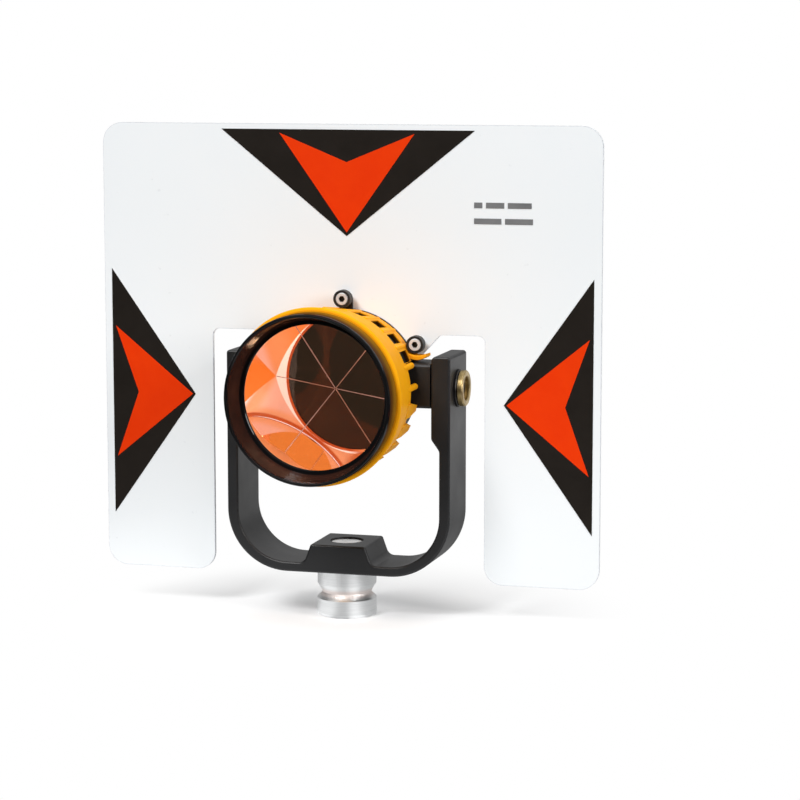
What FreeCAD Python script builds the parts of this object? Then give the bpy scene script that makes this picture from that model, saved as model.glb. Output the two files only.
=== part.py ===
import FreeCAD, Part
import math
import os

# Survey prism: a corner cube reflector in a tilting head with a target plate, held in a
# yoke on a threaded pole adapter. Millimetres, +Z up, the glass faces -Y.
# The origin is the centre of the adapter's bottom face, on the pole's axis.

V = FreeCAD.Vector
X = V(1, 0, 0)
Y = V(0, 1, 0)
Z = V(0, 0, 1)

# ---- driving dimensions ----
AXIS_Z = 102.0              # height of the tilt axis and of the optical axis

# yoke (heights named REL are measured from the tilt axis)
YOKE_HALF = 50.5            # outer half width
YOKE_DEPTH = 28.8
ARM_THICK = 4.9
PAD_THICK = 8.5             # thicker upper end of each arm, round the pivot
BAR_THICK = 4.3
YOKE_TOP_REL = 15.0
YOKE_BOTTOM_REL = -81.9
YOKE_CORNER = 27.0          # outer radius of the two lower corners
PAD_LOW_REL = -21.0
PAD_SLOPE_REL = -26.0
BOSS_TOP_REL = -69.3
BOSS_TOP_HALF = 12.4
BOSS_FOOT_HALF = 15.4
YOKE_EDGE = 1.0             # rounding of the front and back edges

# pole adapter
DRUM_R = 13.1
WAIST_R = 10.8
STEM_R = 7.4
THREAD_R = 6.8              # minor radius of a 5/8 inch, 11 turns per inch thread
THREAD_DEPTH = 16.0
DRUM_TOP = 8.0
WAIST_Z = 10.1
COLLAR_LOW = 13.6
THREAD_MOUTH = 0.4          # chamfer at the mouth of the thread
STEM_RECESS = 0.9           # stem end below the top of the boss
SET_SCREW_R = 2.0
SET_SCREW_KEY = 2.0         # hexagon socket, across the flats
SET_SCREW_SOCKET = 2.0
SET_SCREW_SUNK = 1.0        # end below the back of the yoke

# tilt pivots
BUSH_R = 5.0
PIVOT_R = 3.5
RUN_GAP = 0.05              # radial clearance of a running fit
FACE_GAP = 0.1              # clearance between faces that rub
FRICTION_R = 7.2
FRICTION_THICK = 1.0
WASHER_R = 8.2
WASHER_THICK = 1.0
NUT_R = 7.8
NUT_THICK = 2.7
NUT_RECESS_R = 5.25
NUT_RECESS_DEPTH = 1.8
PIVOT_KEY = 3.0             # hexagon sockets of the two pivots, across the flats
STUD_SOCKET = 2.2           # their depths
LEFT_SOCKET = 1.4
PIVOT_START = 32.5          # distance from the centre where the pivots enter the trunnions
LEFT_HEAD_R = 5.6
LEFT_HEAD_THICK = 2.0

# optics
GLASS_R = 32.0
APERTURE_R = 31.0
GLASS_FRONT_Y = -46.0
GLASS_BAND = 1.0            # plain cylindrical band behind the glass front
INNER_EDGE_ANGLE = -4.7     # where one of the three inner edges points, seen from the front
COATING = 0.3
SEAT_GAP = 0.05

# canister: it tapers towards its back; a rim closes the upper part of the back
HOUSING_BORE_R = 34.0
HOUSING_FRONT_R = 38.2
HOUSING_TAPER = 0.112       # loss of radius for each millimetre of depth
HOUSING_FRONT_Y = -47.0
SHELL_END_Y = -22.0         # end of the closed shell, start of the free pegs
BORE_STEP_Y = -20.5
WINDOW_START_Y = -25.2
WINDOW_END_Y = -9.0
WINDOW_WIDTH = 5.2
RIM_END_Y = -0.4
RIM_BORE_R = 32.3
RIM_ANGLES = (21.0, 157.5)
RIB_COUNT = 24
RIB_TURN = 3.0              # angle of the first rib
RIB_BAR_R = 1.4
RIB_PROUD = 0.5             # ribs of the rim stand this high above the taper
PEG_R = 36.2                # outermost radius of the free pegs
PEG_END_Y = -12.5
WEDGE_ROOT_HALF = 3.0       # the pegs of the lower half are wedges
WEDGE_TIP_HALF = 1.2

# cell and carrier
CELL_WALL = 1.8
CELL_STEP_Y = -20.6
CELL_BACK_R = 32.2
CELL_BACK_BORE_R = 30.4
WEB_FRONT_Y = -15.5
WEB_BACK_Y = -12.5
WEB_HOLE_R = 24.0
SEAT_FRONT_Y = -31.6

# front bezel
BEZEL_R = 36.3
BEZEL_FRONT_Y = -58.5
BEZEL_MOUTH_R = 34.7
BEZEL_FLOOR_R = 32.7
BEZEL_FLOOR_Y = -47.9
GASKET_THICK = 0.6
SPIGOT_END_Y = -42.2

# carrier ring
RING_R = 31.9
RING_BORE_R = 27.0
RING_BACK_Y = 1.0
FLANGE_R = 33.2             # flange behind the canister's rim
FLANGE_FRONT_Y = -0.2
FLANGE_ANGLES = (10.0, 170.0)
TRUNNION_LOW_REL = -8.0
TRUNNION_HIGH_REL = 11.3
TRUNNION_FRONT_Y = -11.6
TRUNNION_BACK_Y = 7.4
LUG_CIRCLE_R = 37.9
LUG_R = 3.85
LUG_FRONT_Y = -7.1
LUG_WAIST_Y = -3.4          # the lug is slimmer from here back
LUG_WAIST_R = 2.6
LUG_SEAT_Y = -4.0           # floor of the counterbore for the screw head
LUG_POCKET_R = 2.95
LUG_NECK = 5.6
LUG_ANGLES = (30, 90, 150)
LOCK_SCREW_CIRCLE_R = 29.4
LOCK_SCREW_ANGLES = (60, 180, 300)
LOCK_SCREW_R = 1.25
LOCK_HOLE_R = 1.3
LOCK_HEAD_R = 2.2
LOCK_COUNTERBORE_R = 2.3
LOCK_COUNTERBORE = 2.6
LOCK_SUNK = 0.8             # head below the back of the ring
LOCK_KEY = 1.5
LOCK_SOCKET = 1.2
LOCK_END_Y = -15.4

# finger tab at the right end of the canister's rim: points of x and height from the axis
TAB_TOP = ((30.0, 15.4), (34.4, 14.4), (38.2, 15.2))
TAB_LOW = ((38.4, 14.0), (34.2, 12.4), (29.0, 14.6))
TAB_FRONT_Y = -8.4
TAB_BACK_Y = -1.0

# rear cap
CAP_FLANGE_R = 31.2
CAP_FLANGE_THICK = 1.8
CAP_GAP = 0.3               # space round the flange
CAP_SPIGOT_Y = -4.0
CAP_DOME_R = 25.0
CAP_DOME_THICK = 2.2
CAP_CAVITY_R = 21.0
CAP_CAVITY_Y = 2.2
SPANNER_HOLE_R = 1.8
SPANNER_CIRCLE_R = 19.0

# target plate
PLATE_HALF = 113.0
PLATE_TOP_REL = 113.0
PLATE_LOW_REL = -86.0
PLATE_THICK = 1.5
PLATE_CORNER = 9.0
OPENING_HALF = 62.0
OPENING_TOP_REL = 22.6
TONGUE_TOP_HALF = 42.2
TONGUE_LOW_HALF = 31.9
TONGUE_LOW_REL = 11.5
ARCH_R = 31.5
FILM_THICK = 0.15

# M3 fasteners of the target plate
M3_R = 1.5
M3_HOLE_R = 1.7
M3_HEAD_R = 2.75
M3_HEAD_THICK = 3.0
M3_HEX_FLAT = 2.5
M3_SOCKET = 1.6
M3_NUT_FLAT = 5.5
M3_NUT_THICK = 2.4
M3_WASHER_R = 3.5
M3_WASHER_THICK = 0.5
M3_TAIL = 0.9               # screw end beyond its nut


# ---- helpers ----
def save(shape, name):
    shape.exportStep("parts/" + name + ".step")


def at(x, y, rel):
    """A point given with its height from the tilt axis."""
    return V(x, y, AXIS_Z + rel)


def cyl_y(radius, y0, y1, x=0.0, rel=0.0):
    return Part.makeCylinder(radius, y1 - y0, at(x, y0, rel), Y)


def cyl_x(radius, x0, x1):
    return Part.makeCylinder(radius, x1 - x0, at(x0, 0, 0), X)


def tube_y(outer, inner, y0, y1):
    return cyl_y(outer, y0, y1).cut(cyl_y(inner, y0, y1))


def tube_x(outer, inner, x0, x1):
    return cyl_x(outer, x0, x1).cut(cyl_x(inner, x0, x1))


def polar(radius, degrees):
    """x and height from the axis of a point on a circle round the optical axis."""
    turn = math.radians(degrees)
    return radius * math.cos(turn), radius * math.sin(turn)


def hexagon(flat, start, direction, length):
    """A hexagonal bar with the given width across its flats."""
    corner = flat / math.sqrt(3)
    points = [V(*polar(corner, 60 * i), 0) for i in range(7)]
    bar = Part.Face(Part.makePolygon(points)).extrude(V(0, 0, length))
    bar.Placement = FreeCAD.Placement(start, FreeCAD.Rotation(Z, direction))
    return bar


def rounded_face(corners, y):
    """A face at a given y, from corners (x, rel, radius) joined by tangent arcs."""
    count = len(corners)
    starts = []
    arcs = []
    for i in range(count):
        x, rel, radius = corners[i]
        here = at(x, y, rel)
        before = at(corners[i - 1][0], y, corners[i - 1][1])
        after = at(corners[(i + 1) % count][0], y, corners[(i + 1) % count][1])
        to_before = (before - here).normalize()
        to_after = (after - here).normalize()
        half = to_before.getAngle(to_after) / 2
        reach = radius / math.tan(half)
        enter = here + to_before * reach
        leave = here + to_after * reach
        inward = (to_before + to_after).normalize()
        middle = here + inward * (radius / math.sin(half) - radius)
        starts.append((enter, leave))
        arcs.append(Part.Arc(enter, middle, leave).toShape() if radius > 0 else None)
    edges = []
    for i in range(count):
        if arcs[i] is not None:
            edges.append(arcs[i])
        leave = starts[i][1]
        enter = starts[(i + 1) % count][0]
        if (enter - leave).Length > 1e-6:
            edges.append(Part.makeLine(leave, enter))
    return Part.Face(Part.Wire(edges))


def mirrored(corners):
    """Corners of a right half, top to bottom, then of the mirrored left half."""
    return corners + [(-x, rel, radius) for x, rel, radius in reversed(corners)]


def revolved(profile, centre, direction):
    """Turn a closed profile of (radius, distance along the axis) round an axis."""
    across = X if direction != X else Z
    points = [centre + across * r + direction * along for r, along in profile]
    face = Part.Face(Part.makePolygon(points + [points[0]]))
    return face.revolve(centre, direction, 360)


def edges_at_y(shape, values):
    """Edges that lie wholly in one of the planes at the given y values."""
    found = []
    for edge in shape.Edges:
        box = edge.BoundBox
        for value in values:
            if abs(box.YMin - value) < 1e-4 and abs(box.YMax - value) < 1e-4:
                found.append(edge)
    return found


# ---- yoke and what is fixed to it ----
def make_yoke():
    inner_half = YOKE_HALF - ARM_THICK
    pad_half = YOKE_HALF - PAD_THICK
    bar_top = YOKE_BOTTOM_REL + BAR_THICK
    corners = mirrored([
        (BOSS_TOP_HALF, BOSS_TOP_REL, 1.2),
        (BOSS_FOOT_HALF, bar_top, 3.6),
        (inner_half, bar_top, YOKE_CORNER - 0.5 * (ARM_THICK + BAR_THICK)),
        (inner_half, PAD_SLOPE_REL, 3.0),
        (pad_half, PAD_LOW_REL, 2.5),
        (pad_half, YOKE_TOP_REL, 2.4),
        (YOKE_HALF, YOKE_TOP_REL, 1.4),
        (YOKE_HALF, YOKE_BOTTOM_REL, YOKE_CORNER),
    ])
    half = YOKE_DEPTH / 2
    body = rounded_face(corners, -half).extrude(V(0, YOKE_DEPTH, 0))
    body = body.makeFillet(YOKE_EDGE, edges_at_y(body, (-half, half)))
    body = body.cut(cyl_x(BUSH_R, -YOKE_HALF - 1, YOKE_HALF + 1))
    stem_hole = Part.makeCylinder(STEM_R, AXIS_Z, V(0, 0, 0), Z)
    stem_hole = stem_hole.common(Part.makeBox(40, 40, 60, V(-20, -20, 0)))
    set_hole = cyl_y(SET_SCREW_R, 0, half + 1, 0, set_screw_rel())
    return body.cut(stem_hole).cut(set_hole)


def set_screw_rel():
    return (BOSS_TOP_REL + YOKE_BOTTOM_REL) / 2


def make_adapter():
    stem_top = AXIS_Z + BOSS_TOP_REL - STEM_RECESS
    collar_top = AXIS_Z + YOKE_BOTTOM_REL
    profile = [
        (THREAD_R + THREAD_MOUTH, 0), (DRUM_R - 1.1, 0), (DRUM_R - 0.35, 0.4), (DRUM_R, 1.3),
        (DRUM_R, DRUM_TOP - 0.5), (DRUM_R - 0.5, DRUM_TOP),
        (WAIST_R + 0.2, WAIST_Z - 0.6), (WAIST_R, WAIST_Z), (WAIST_R + 0.3, WAIST_Z + 0.7),
        (DRUM_R - 0.7, COLLAR_LOW - 0.5), (DRUM_R - 0.1, COLLAR_LOW + 0.4),
        (DRUM_R - 0.1, collar_top), (STEM_R, collar_top),
        (STEM_R, stem_top - 0.4), (STEM_R - 0.4, stem_top), (0, stem_top),
        (0, THREAD_DEPTH + 2), (THREAD_R, THREAD_DEPTH), (THREAD_R, THREAD_MOUTH),
    ]
    return revolved(profile, V(0, 0, 0), Z)


def make_set_screw():
    half = YOKE_DEPTH / 2
    rel = set_screw_rel()
    back = half - SET_SCREW_SUNK
    screw = cyl_y(SET_SCREW_R, STEM_R, back, 0, rel)
    screw = screw.cut(Part.makeCylinder(STEM_R, AXIS_Z, V(0, 0, 0), Z))
    socket = hexagon(SET_SCREW_KEY, at(0, back - SET_SCREW_SOCKET, rel), Y, SET_SCREW_SOCKET)
    return screw.cut(socket)


def make_bush(side):
    inner = min(side * (YOKE_HALF - PAD_THICK), side * YOKE_HALF)
    return tube_x(BUSH_R, PIVOT_R + RUN_GAP, inner, inner + PAD_THICK)


def make_clamp_washer():
    washer = tube_x(WASHER_R, PIVOT_R + 0.3, YOKE_HALF, YOKE_HALF + WASHER_THICK)
    return washer.makeChamfer(0.3, [washer.Edges[0], washer.Edges[2]])


# ---- tilt pivots ----
def friction_start():
    """Distance from the centre to the outer face of a friction washer."""
    return YOKE_HALF - PAD_THICK - FACE_GAP


def trunnion_end():
    return friction_start() - FRICTION_THICK


def make_friction_washer(side):
    inner = min(side * trunnion_end(), side * friction_start())
    return tube_x(FRICTION_R, PIVOT_R, inner, inner + FRICTION_THICK)


def make_right_stud():
    end = YOKE_HALF + WASHER_THICK + FACE_GAP + NUT_THICK - NUT_RECESS_DEPTH
    stud = cyl_x(PIVOT_R, PIVOT_START, end - 0.4)
    tip = Part.makeCone(PIVOT_R, PIVOT_R - 0.4, 0.4, at(end - 0.4, 0, 0), X)
    socket = hexagon(PIVOT_KEY, at(end - STUD_SOCKET, 0, 0), X, STUD_SOCKET)
    return stud.fuse(tip).cut(socket)


def make_lock_nut():
    inner = YOKE_HALF + WASHER_THICK + FACE_GAP
    outer = inner + NUT_THICK
    bore = PIVOT_R + RUN_GAP
    floor = outer - NUT_RECESS_DEPTH
    profile = [
        (bore, inner), (NUT_R - 0.4, inner), (NUT_R, inner + 0.4), (NUT_R, outer - 0.5),
        (NUT_R - 0.5, outer), (NUT_RECESS_R + 0.4, outer), (NUT_RECESS_R, outer - 0.4),
        (NUT_RECESS_R, floor), (bore, floor),
    ]
    return revolved(profile, at(0, 0, 0), X)


def make_left_screw():
    face = -YOKE_HALF - FACE_GAP
    shank = cyl_x(PIVOT_R, face, -PIVOT_START)
    head = cyl_x(LEFT_HEAD_R, face - LEFT_HEAD_THICK, face)
    head = head.makeFillet(1.2, [head.Edges[2]])
    socket = hexagon(PIVOT_KEY, at(face - LEFT_HEAD_THICK, 0, 0), X, LEFT_SOCKET)
    return shank.fuse(head).cut(socket)


# ---- carrier ring ----
def make_trunnion(side):
    length = trunnion_end() - RING_BORE_R
    start = RING_BORE_R if side > 0 else -trunnion_end()
    size_y = TRUNNION_BACK_Y - TRUNNION_FRONT_Y
    size_z = TRUNNION_HIGH_REL - TRUNNION_LOW_REL
    corner = at(start, TRUNNION_FRONT_Y, TRUNNION_LOW_REL)
    block = Part.makeBox(length, size_y, size_z, corner)
    along_x = [e for e in block.Edges if e.BoundBox.XLength > length - 0.01]
    return block.makeFillet(1.5, along_x)


def sector(angles, y0, y1):
    """A wedge of space round the optical axis, from one angle to another by way of the top."""
    far = 4 * RING_R
    low, high = angles
    points = [at(0, y0, 0)]
    for angle in (low, (low + 90) / 2, 90, (90 + high) / 2, high):
        x, rel = polar(far, angle)
        points.append(at(x, y0, rel))
    face = Part.Face(Part.makePolygon(points + [points[0]]))
    return face.extrude(V(0, y1 - y0, 0))


def lug_places():
    return [polar(LUG_CIRCLE_R, angle) for angle in LUG_ANGLES]


def lock_places():
    return [polar(LOCK_SCREW_CIRCLE_R, angle) for angle in LOCK_SCREW_ANGLES]


def make_lug(angle):
    x, rel = polar(LUG_CIRCLE_R, angle)
    boss = cyl_y(LUG_R, LUG_FRONT_Y, LUG_WAIST_Y, x, rel)
    boss = boss.makeFillet(0.3, edges_at_y(boss, (LUG_FRONT_Y,)))
    boss = boss.fuse(cyl_y(LUG_WAIST_R, LUG_WAIST_Y, RING_BACK_Y, x, rel))
    neck = Part.makeBox(LUG_CIRCLE_R - RING_R + 0.5, RING_BACK_Y - FLANGE_FRONT_Y, LUG_NECK,
                        at(RING_R - 0.5, FLANGE_FRONT_Y, -LUG_NECK / 2))
    neck.rotate(at(0, 0, 0), Y, -angle)
    return boss.fuse(neck)


def make_carrier():
    ring = cyl_y(RING_R, WEB_BACK_Y, RING_BACK_Y)
    flange = cyl_y(FLANGE_R, FLANGE_FRONT_Y, RING_BACK_Y)
    ring = ring.fuse(flange.common(sector(FLANGE_ANGLES, FLANGE_FRONT_Y, RING_BACK_Y)))
    for side in (1, -1):
        ring = ring.fuse(make_trunnion(side))
    for angle in LUG_ANGLES:
        ring = ring.fuse(make_lug(angle))
    ring = ring.cut(cyl_y(RING_BORE_R, WEB_BACK_Y - 1, TRUNNION_BACK_Y + 1))
    ring = ring.cut(cyl_y(CAP_FLANGE_R + CAP_GAP, RING_BACK_Y, TRUNNION_BACK_Y + 1))
    for x, rel in lug_places():
        ring = ring.cut(cyl_y(M3_HOLE_R, LUG_SEAT_Y, RING_BACK_Y, x, rel))
        ring = ring.cut(cyl_y(LUG_POCKET_R, LUG_FRONT_Y, LUG_SEAT_Y, x, rel))
    for x, rel in lock_places():
        seat = RING_BACK_Y - LOCK_COUNTERBORE
        ring = ring.cut(cyl_y(LOCK_HOLE_R, WEB_BACK_Y, RING_BACK_Y, x, rel))
        ring = ring.cut(cyl_y(LOCK_COUNTERBORE_R, seat, TRUNNION_BACK_Y + 1, x, rel))
    pivots = cyl_x(PIVOT_R, PIVOT_START, YOKE_HALF).fuse(cyl_x(PIVOT_R, -YOKE_HALF, -PIVOT_START))
    return ring.cut(pivots).removeSplitter()


def make_lock_screws():
    screws = []
    for x, rel in lock_places():
        head_front = RING_BACK_Y - LOCK_COUNTERBORE
        head_back = RING_BACK_Y - LOCK_SUNK
        head = cyl_y(LOCK_HEAD_R, head_front, head_back, x, rel)
        shank = cyl_y(LOCK_SCREW_R, LOCK_END_Y, head_front, x, rel)
        socket = hexagon(LOCK_KEY, at(x, head_back - LOCK_SOCKET, rel), Y, LOCK_SOCKET)
        screws.append(head.fuse(shank).cut(socket))
    return Part.makeCompound(screws)


# ---- canister ----
def taper_radius(y):
    return HOUSING_FRONT_R - HOUSING_TAPER * (y - HOUSING_FRONT_Y)


def rib_angles(with_rim):
    """Angles of the ribs that the rim joins, or of the free pegs."""
    pitch = 360.0 / RIB_COUNT
    every = [RIB_TURN + pitch * i for i in range(RIB_COUNT)]
    return [a for a in every if (RIM_ANGLES[0] < a < RIM_ANGLES[1]) == with_rim]


def make_peg(angle):
    """A free bar with a rounded end, along the back edge of the shell."""
    bar = cyl_y(RIB_BAR_R, SHELL_END_Y - 6.0, PEG_END_Y, PEG_R - RIB_BAR_R, 0)
    bar = bar.makeFillet(RIB_BAR_R - 0.2, edges_at_y(bar, (PEG_END_Y,)))
    bar.rotate(at(0, 0, 0), Y, -angle)
    return bar


def make_wedge(angle):
    """A free peg of the lower half, broad at the shell and narrow at its end."""
    start_y = SHELL_END_Y - 6.0
    half = [(start_y, WEDGE_ROOT_HALF), (SHELL_END_Y, WEDGE_ROOT_HALF), (PEG_END_Y, WEDGE_TIP_HALF)]
    outline = half + [(y, -z) for y, z in reversed(half)]
    inner_x = PEG_R - 2 * RIB_BAR_R
    corners = [at(inner_x, y, z) for y, z in outline + outline[:1]]
    peg = Part.Face(Part.makePolygon(corners)).extrude(V(2 * RIB_BAR_R, 0, 0))
    peg = peg.makeFillet(0.7, edges_at_y(peg, (PEG_END_Y,)))
    peg.rotate(at(0, 0, 0), Y, -angle)
    return peg


def make_rib(angle):
    """A low rib that follows the taper, from the shell to the back of the rim."""
    start_y = SHELL_END_Y - 5.0
    end_y = RIM_END_Y - 1.0
    depth = RIB_BAR_R - RIB_PROUD
    start = at(taper_radius(start_y) - depth, start_y, 0)
    end = at(taper_radius(end_y) - depth, end_y, 0)
    bar = Part.makeCylinder(RIB_BAR_R, (end - start).Length, start, end - start)
    bar = bar.makeFillet(0.6, [bar.Edges[0], bar.Edges[2]])
    bar.rotate(at(0, 0, 0), Y, -angle)
    return bar


def make_window(angle):
    window = Part.makeBox(8.0, WINDOW_END_Y - WINDOW_START_Y, WINDOW_WIDTH,
                          at(RIM_BORE_R - 1.0, WINDOW_START_Y, -WINDOW_WIDTH / 2))
    along_x = [e for e in window.Edges if e.BoundBox.XLength > 7.0]
    window = window.makeFillet(0.5, along_x)
    window.rotate(at(0, 0, 0), Y, -angle)
    return window


def make_tab():
    """A leaf of plastic, bowed down in its middle, that sticks out of the rim's right end."""
    top = [at(x, TAB_FRONT_Y, rel) for x, rel in TAB_TOP]
    low = [at(x, TAB_FRONT_Y, rel) for x, rel in TAB_LOW]
    edges = [
        Part.Arc(*top).toShape(), Part.makeLine(top[2], low[0]),
        Part.Arc(*low).toShape(), Part.makeLine(low[2], top[0]),
    ]
    leaf = Part.Face(Part.Wire(edges))
    leaf = leaf.extrude(V(0, TAB_BACK_Y - TAB_FRONT_Y, 0))
    long_edges = [e for e in leaf.Edges if e.BoundBox.XLength > 5.0]
    return leaf.makeFillet(0.4, long_edges)


def make_housing():
    profile = [
        (HOUSING_BORE_R, HOUSING_FRONT_Y), (HOUSING_FRONT_R - 1.3, HOUSING_FRONT_Y),
        (HOUSING_FRONT_R - 0.5, HOUSING_FRONT_Y + 0.25), (HOUSING_FRONT_R - 0.1, HOUSING_FRONT_Y + 0.9),
        (taper_radius(HOUSING_FRONT_Y + 2.0), HOUSING_FRONT_Y + 2.0),
        (taper_radius(RIM_END_Y - 0.3), RIM_END_Y - 0.3), (taper_radius(RIM_END_Y) - 0.3, RIM_END_Y),
        (RIM_BORE_R, RIM_END_Y), (RIM_BORE_R, BORE_STEP_Y), (HOUSING_BORE_R, BORE_STEP_Y),
    ]
    body = revolved(profile, at(0, 0, 0), Y)
    closed = sector(RIM_ANGLES, SHELL_END_Y, 1)
    front = cyl_y(HOUSING_FRONT_R + 1, HOUSING_FRONT_Y - 1, SHELL_END_Y)
    body = body.common(front.fuse(closed))
    for angle in rib_angles(False):
        body = body.fuse(make_wedge(angle) if angle > 180.0 else make_peg(angle))
    for angle in rib_angles(True):
        body = body.fuse(make_rib(angle))
    body = body.cut(cyl_y(HOUSING_BORE_R, HOUSING_FRONT_Y, BORE_STEP_Y))
    half_pitch = 180.0 / RIB_COUNT
    for angle in rib_angles(True):
        body = body.cut(make_window(angle - half_pitch))
    body = body.fuse(make_tab())
    return body.cut(cyl_y(RIM_BORE_R, BORE_STEP_Y, 1)).removeSplitter()


def make_cell():
    """Black sleeve round the glass, stepped, with a web that the carrier's screws hold."""
    outer = HOUSING_BORE_R - 0.05
    profile = [
        (outer, SPIGOT_END_Y + 0.1), (outer, CELL_STEP_Y), (CELL_BACK_R, CELL_STEP_Y),
        (CELL_BACK_R, WEB_BACK_Y - 0.3), (CELL_BACK_R - 0.3, WEB_BACK_Y), (WEB_HOLE_R, WEB_BACK_Y),
        (WEB_HOLE_R, WEB_FRONT_Y), (CELL_BACK_BORE_R, WEB_FRONT_Y),
        (CELL_BACK_BORE_R, CELL_STEP_Y), (outer - CELL_WALL, CELL_STEP_Y),
        (outer - CELL_WALL, SPIGOT_END_Y + 0.1),
    ]
    cell = revolved(profile, at(0, 0, 0), Y)
    for x, rel in lock_places():
        cell = cell.cut(cyl_y(LOCK_SCREW_R, WEB_FRONT_Y, WEB_BACK_Y, x, rel))
    return cell


def make_bezel():
    lip_back = GLASS_FRONT_Y - GASKET_THICK
    spigot_r = HOUSING_BORE_R - 0.05
    profile = [
        (APERTURE_R, lip_back), (APERTURE_R, BEZEL_FLOOR_Y + 0.3), (APERTURE_R + 0.3, BEZEL_FLOOR_Y),
        (BEZEL_FLOOR_R, BEZEL_FLOOR_Y), (BEZEL_MOUTH_R - 0.25, BEZEL_FRONT_Y + 1.6),
        (BEZEL_MOUTH_R + 0.1, BEZEL_FRONT_Y + 0.4), (BEZEL_MOUTH_R + 0.6, BEZEL_FRONT_Y),
        (BEZEL_R - 0.7, BEZEL_FRONT_Y), (BEZEL_R - 0.2, BEZEL_FRONT_Y + 0.35),
        (BEZEL_R, BEZEL_FRONT_Y + 1.0), (BEZEL_R, HOUSING_FRONT_Y - 0.6),
        (BEZEL_R - 0.5, HOUSING_FRONT_Y), (spigot_r, HOUSING_FRONT_Y),
        (spigot_r, SPIGOT_END_Y), (GLASS_R + 0.15, SPIGOT_END_Y), (GLASS_R + 0.15, lip_back),
    ]
    return revolved(profile, at(0, 0, 0), Y)


def make_gasket():
    return tube_y(GLASS_R, APERTURE_R + 0.1, GLASS_FRONT_Y - GASKET_THICK, GLASS_FRONT_Y)


def apex_y():
    """The full circle of a corner cube lies the square root of two radii from its apex."""
    return GLASS_FRONT_Y + GLASS_BAND + math.sqrt(2) * GLASS_R


def trihedral(shift, radius, front_y):
    """Space inside three square faces that meet at the apex, cut to a cylinder."""
    size = 4 * GLASS_R
    cube = Part.makeBox(size, size, size)
    turn = FreeCAD.Rotation(V(1, 1, 1), V(0, -1, 0))
    cube.Placement = FreeCAD.Placement(V(0, 0, 0), turn)
    # turn the cube about the optical axis until one inner edge has its angle
    edge = turn.multVec(X)
    angle = math.degrees(math.atan2(edge.z, edge.x))
    cube.rotate(V(0, 0, 0), Y, angle - INNER_EDGE_ANGLE)
    cube.translate(at(0, apex_y() + shift, 0))
    return cube.common(cyl_y(radius, front_y, apex_y() + shift + 1))


def make_glass():
    return trihedral(0, GLASS_R, GLASS_FRONT_Y)


def make_coating():
    """Copper layer on the three rear faces of the glass."""
    band_end = GLASS_FRONT_Y + GLASS_BAND + 0.4
    outer = trihedral(COATING * math.sqrt(3), GLASS_R, band_end)
    return outer.cut(trihedral(0, GLASS_R + 1, band_end - 1))


def make_seat():
    """Moulded cushion behind the coated faces, which centres the glass in its cell."""
    shift = (COATING + SEAT_GAP) * math.sqrt(3)
    front_r = HOUSING_BORE_R - CELL_WALL - 0.1
    block = cyl_y(front_r, SEAT_FRONT_Y, CELL_STEP_Y)
    block = block.fuse(cyl_y(CELL_BACK_BORE_R - 0.05, CELL_STEP_Y, WEB_FRONT_Y))
    block = block.cut(trihedral(shift, GLASS_R + 3, GLASS_FRONT_Y))
    return block


def make_rear_cap():
    flange_back = RING_BACK_Y + CAP_FLANGE_THICK
    dome_back = flange_back + CAP_DOME_THICK
    profile = [
        (0, CAP_CAVITY_Y), (CAP_CAVITY_R, CAP_CAVITY_Y), (CAP_CAVITY_R, CAP_SPIGOT_Y),
        (RING_BORE_R, CAP_SPIGOT_Y), (RING_BORE_R, RING_BACK_Y), (CAP_FLANGE_R, RING_BACK_Y),
        (CAP_FLANGE_R, flange_back - 0.5), (CAP_FLANGE_R - 0.5, flange_back),
        (CAP_DOME_R + 0.5, flange_back), (CAP_DOME_R, flange_back + 0.5),
        (CAP_DOME_R, dome_back - 0.6), (CAP_DOME_R - 0.6, dome_back), (0, dome_back),
    ]
    cap = revolved(profile, at(0, 0, 0), Y)
    for side in (1, -1):
        hole = cyl_y(SPANNER_HOLE_R, dome_back - 1.6, dome_back + 1, side * SPANNER_CIRCLE_R, 0)
        cap = cap.cut(hole)
    return cap


def make_cap_seal():
    """Rubber ring in front of the rear cap's spigot."""
    return tube_y(RING_BORE_R, CAP_CAVITY_R + 4.0, CAP_SPIGOT_Y - 1.2, CAP_SPIGOT_Y)


# ---- target plate ----
def make_plate():
    outline = mirrored([
        (PLATE_HALF, PLATE_TOP_REL, PLATE_CORNER),
        (PLATE_HALF, PLATE_LOW_REL, PLATE_CORNER),
        (OPENING_HALF, PLATE_LOW_REL, PLATE_CORNER - 1),
        (OPENING_HALF, OPENING_TOP_REL, 3.0),
        (TONGUE_TOP_HALF, OPENING_TOP_REL, 2.5),
        (TONGUE_LOW_HALF, TONGUE_LOW_REL, 0),
    ])
    plate = rounded_face(outline, RING_BACK_Y).extrude(V(0, PLATE_THICK, 0))
    plate = plate.cut(cyl_y(ARCH_R, RING_BACK_Y - 1, RING_BACK_Y + PLATE_THICK + 1))
    for x, rel in lug_places():
        plate = plate.cut(cyl_y(M3_HOLE_R, RING_BACK_Y, RING_BACK_Y + PLATE_THICK, x, rel))
    return plate


# the printed films: each target mark is a triangle that points at the glass
TOP_MARK_HALF = 57.2
TOP_MARK_EDGE_REL = 110.6
TOP_MARK_TIP_REL = 64.6
SIDE_MARK_X = 109.6
SIDE_MARK_TIP_X = 70.5
SIDE_MARK_HALF = 55.2
SIDE_MARK_REL = -7.0
ARROW_GAP = 1.6             # black border left at an arrow's tip and barbs
TOP_BARB_HALF = 30.5
TOP_NOTCH_REL = 96.6
SIDE_TIP_GAP = 1.2
SIDE_BARB_HALF = 29.5
SIDE_NOTCH_X = 97.5
MARK_X = 57.0
MARK_TOP_REL = 80.1
MARK_HEIGHT = 2.4
MARK_ROW_STEP = 6.8
MARK_SPACE = 1.6
MARK_ROWS = ((3.6, 8.0, 10.4), (12.0, 12.2))


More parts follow.
